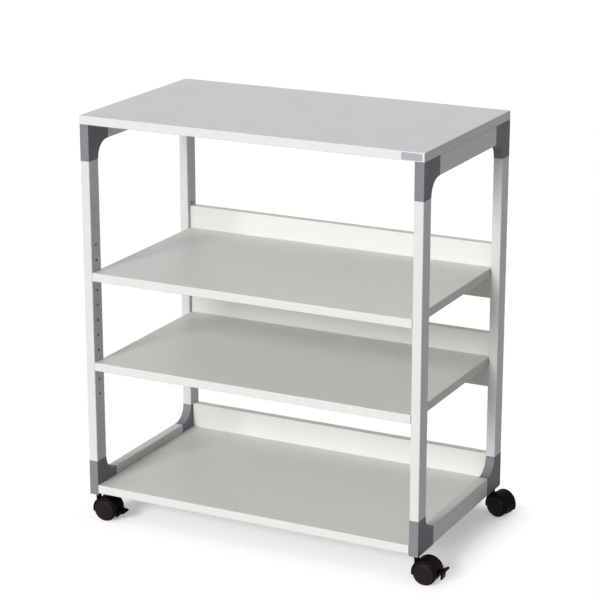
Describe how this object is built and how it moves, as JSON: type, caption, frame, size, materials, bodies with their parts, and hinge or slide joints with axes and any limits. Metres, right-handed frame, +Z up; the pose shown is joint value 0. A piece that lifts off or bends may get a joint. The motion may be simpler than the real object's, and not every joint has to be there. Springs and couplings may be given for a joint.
{
  "type": "mobile printer stand",
  "caption": "Mobile stand with a worktop and shelves between two tube side frames with moulded corners, on twin-wheel swivel castors.",
  "frame": {"origin": "on the floor, at the centre of the frame's footprint", "axes": "+Z up, +X to the right and -Y out of the open front, as someone facing the stand sees it"},
  "size_m": [0.8483, 0.4364, 0.8645],
  "materials": {
    "board_laminate": "light grey melamine on chipboard, fine matt texture",
    "frame_paint": "light silver-grey powder coat",
    "connector_plastic": "mid grey moulded plastic, fine spark-eroded texture",
    "castor_plastic": "black moulded nylon",
    "castor_wheel": "black moulded nylon wheel",
    "steel": "zinc-plated steel",
    "zinc": "die-cast zinc"
  },
  "bodies": {
    "frame": {"bottom_back_panel": "board_laminate", "bottom_back_panel_screws": "steel", "bottom_rail_left": "frame_paint", "bottom_rail_right": "frame_paint", "bottom_shelf": "board_laminate", "bottom_shelf_cam_bolts": "steel", "bottom_shelf_cams": "zinc", "leg_front_left": "frame_paint", "leg_front_right": "frame_paint", "leg_rear_left": "frame_paint", "leg_rear_right": "frame_paint", "lower_back_panel": "board_laminate", "lower_back_panel_screws": "steel", "lower_connector_front_left": "connector_plastic", "lower_connector_front_right": "connector_plastic", "lower_connector_rear_left": "connector_plastic", "lower_connector_rear_right": "connector_plastic", "lower_shelf": "board_laminate", "lower_shelf_cam_bolts": "steel", "lower_shelf_cams": "zinc", "top_board": "board_laminate", "top_rail_left": "frame_paint", "top_rail_right": "frame_paint", "upper_back_panel": "board_laminate", "upper_back_panel_screws": "steel", "upper_connector_front_left": "connector_plastic", "upper_connector_front_right": "connector_plastic", "upper_connector_rear_left": "connector_plastic", "upper_connector_rear_right": "connector_plastic", "upper_shelf": "board_laminate", "upper_shelf_cam_bolts": "steel", "upper_shelf_cams": "zinc", "worktop_screws": "steel"},
    "castor_front_left": {"castor_front_left_housing": "castor_plastic", "castor_front_left_stem": "steel", "castor_front_left_axle": "steel", "castor_front_left_brake_pin": "steel"},
    "wheel_front_left_a": {"castor_front_left_wheel_a": "castor_wheel"},
    "wheel_front_left_b": {"castor_front_left_wheel_b": "castor_wheel"},
    "brake_front_left": {"castor_front_left_brake_lever": "castor_plastic"},
    "castor_front_right": {"castor_front_right_housing": "castor_plastic", "castor_front_right_stem": "steel", "castor_front_right_axle": "steel", "castor_front_right_brake_pin": "steel"},
    "wheel_front_right_a": {"castor_front_right_wheel_a": "castor_wheel"},
    "wheel_front_right_b": {"castor_front_right_wheel_b": "castor_wheel"},
    "brake_front_right": {"castor_front_right_brake_lever": "castor_plastic"},
    "castor_rear_left": {"castor_rear_left_housing": "castor_plastic", "castor_rear_left_stem": "steel", "castor_rear_left_axle": "steel"},
    "wheel_rear_left_a": {"castor_rear_left_wheel_a": "castor_wheel"},
    "wheel_rear_left_b": {"castor_rear_left_wheel_b": "castor_wheel"},
    "castor_rear_right": {"castor_rear_right_housing": "castor_plastic", "castor_rear_right_stem": "steel", "castor_rear_right_axle": "steel"},
    "wheel_rear_right_a": {"castor_rear_right_wheel_a": "castor_wheel"},
    "wheel_rear_right_b": {"castor_rear_right_wheel_b": "castor_wheel"}
  },
  "joints": [
    {"name": "swivel_front_left", "type": "hinge", "parent": "frame", "child": "castor_front_left", "pos_m": [-0.365, -0.198, 0.0675], "axis": [0, 0, 1], "continuous": true},
    {"name": "roll_front_left_a", "type": "hinge", "parent": "castor_front_left", "child": "wheel_front_left_a", "pos_m": [-0.34185, -0.2098, 0.025], "axis": [-0.0523, 0.9986, 0], "continuous": true},
    {"name": "roll_front_left_b", "type": "hinge", "parent": "castor_front_left", "child": "wheel_front_left_b", "pos_m": [-0.34321, -0.18384, 0.025], "axis": [-0.0523, 0.9986, 0], "continuous": true},
    {"name": "brake_front_left", "type": "hinge", "parent": "castor_front_left", "child": "brake_front_left", "pos_m": [-0.32486, -0.1959, 0.02925], "axis": [-0.0523, 0.9986, 0], "range_deg": [-34, 0]},
    {"name": "swivel_front_right", "type": "hinge", "parent": "frame", "child": "castor_front_right", "pos_m": [0.365, -0.198, 0.0675], "axis": [0, 0, 1], "continuous": true},
    {"name": "roll_front_right_a", "type": "hinge", "parent": "castor_front_right", "child": "wheel_front_right_a", "pos_m": [0.38772, -0.2106, 0.025], "axis": [-0.0175, 0.9998, 0], "continuous": true},
    {"name": "roll_front_right_b", "type": "hinge", "parent": "castor_front_right", "child": "wheel_front_right_b", "pos_m": [0.38727, -0.18461, 0.025], "axis": [-0.0175, 0.9998, 0], "continuous": true},
    {"name": "brake_front_right", "type": "hinge", "parent": "castor_front_right", "child": "brake_front_right", "pos_m": [0.40519, -0.1973, 0.02925], "axis": [-0.0175, 0.9998, 0], "range_deg": [0, 34]},
    {"name": "swivel_rear_left", "type": "hinge", "parent": "frame", "child": "castor_rear_left", "pos_m": [-0.365, 0.198, 0.0675], "axis": [0, 0, 1], "continuous": true},
    {"name": "roll_rear_left_a", "type": "hinge", "parent": "castor_rear_left", "child": "wheel_rear_left_a", "pos_m": [-0.39059, 0.20252, 0.025], "axis": [0.342, -0.9397, 0], "continuous": true},
    {"name": "roll_rear_left_b", "type": "hinge", "parent": "castor_rear_left", "child": "wheel_rear_left_b", "pos_m": [-0.3817, 0.17809, 0.025], "axis": [0.342, -0.9397, 0], "continuous": true},
    {"name": "swivel_rear_right", "type": "hinge", "parent": "frame", "child": "castor_rear_right", "pos_m": [0.365, 0.198, 0.0675], "axis": [0, 0, 1], "continuous": true},
    {"name": "roll_rear_right_a", "type": "hinge", "parent": "castor_rear_right", "child": "wheel_rear_right_a", "pos_m": [0.38305, 0.1793, 0.025], "axis": [0.2756, 0.9613, 0], "continuous": true},
    {"name": "roll_rear_right_b", "type": "hinge", "parent": "castor_rear_right", "child": "wheel_rear_right_b", "pos_m": [0.39021, 0.2043, 0.025], "axis": [0.2756, 0.9613, 0], "continuous": true}
  ]
}
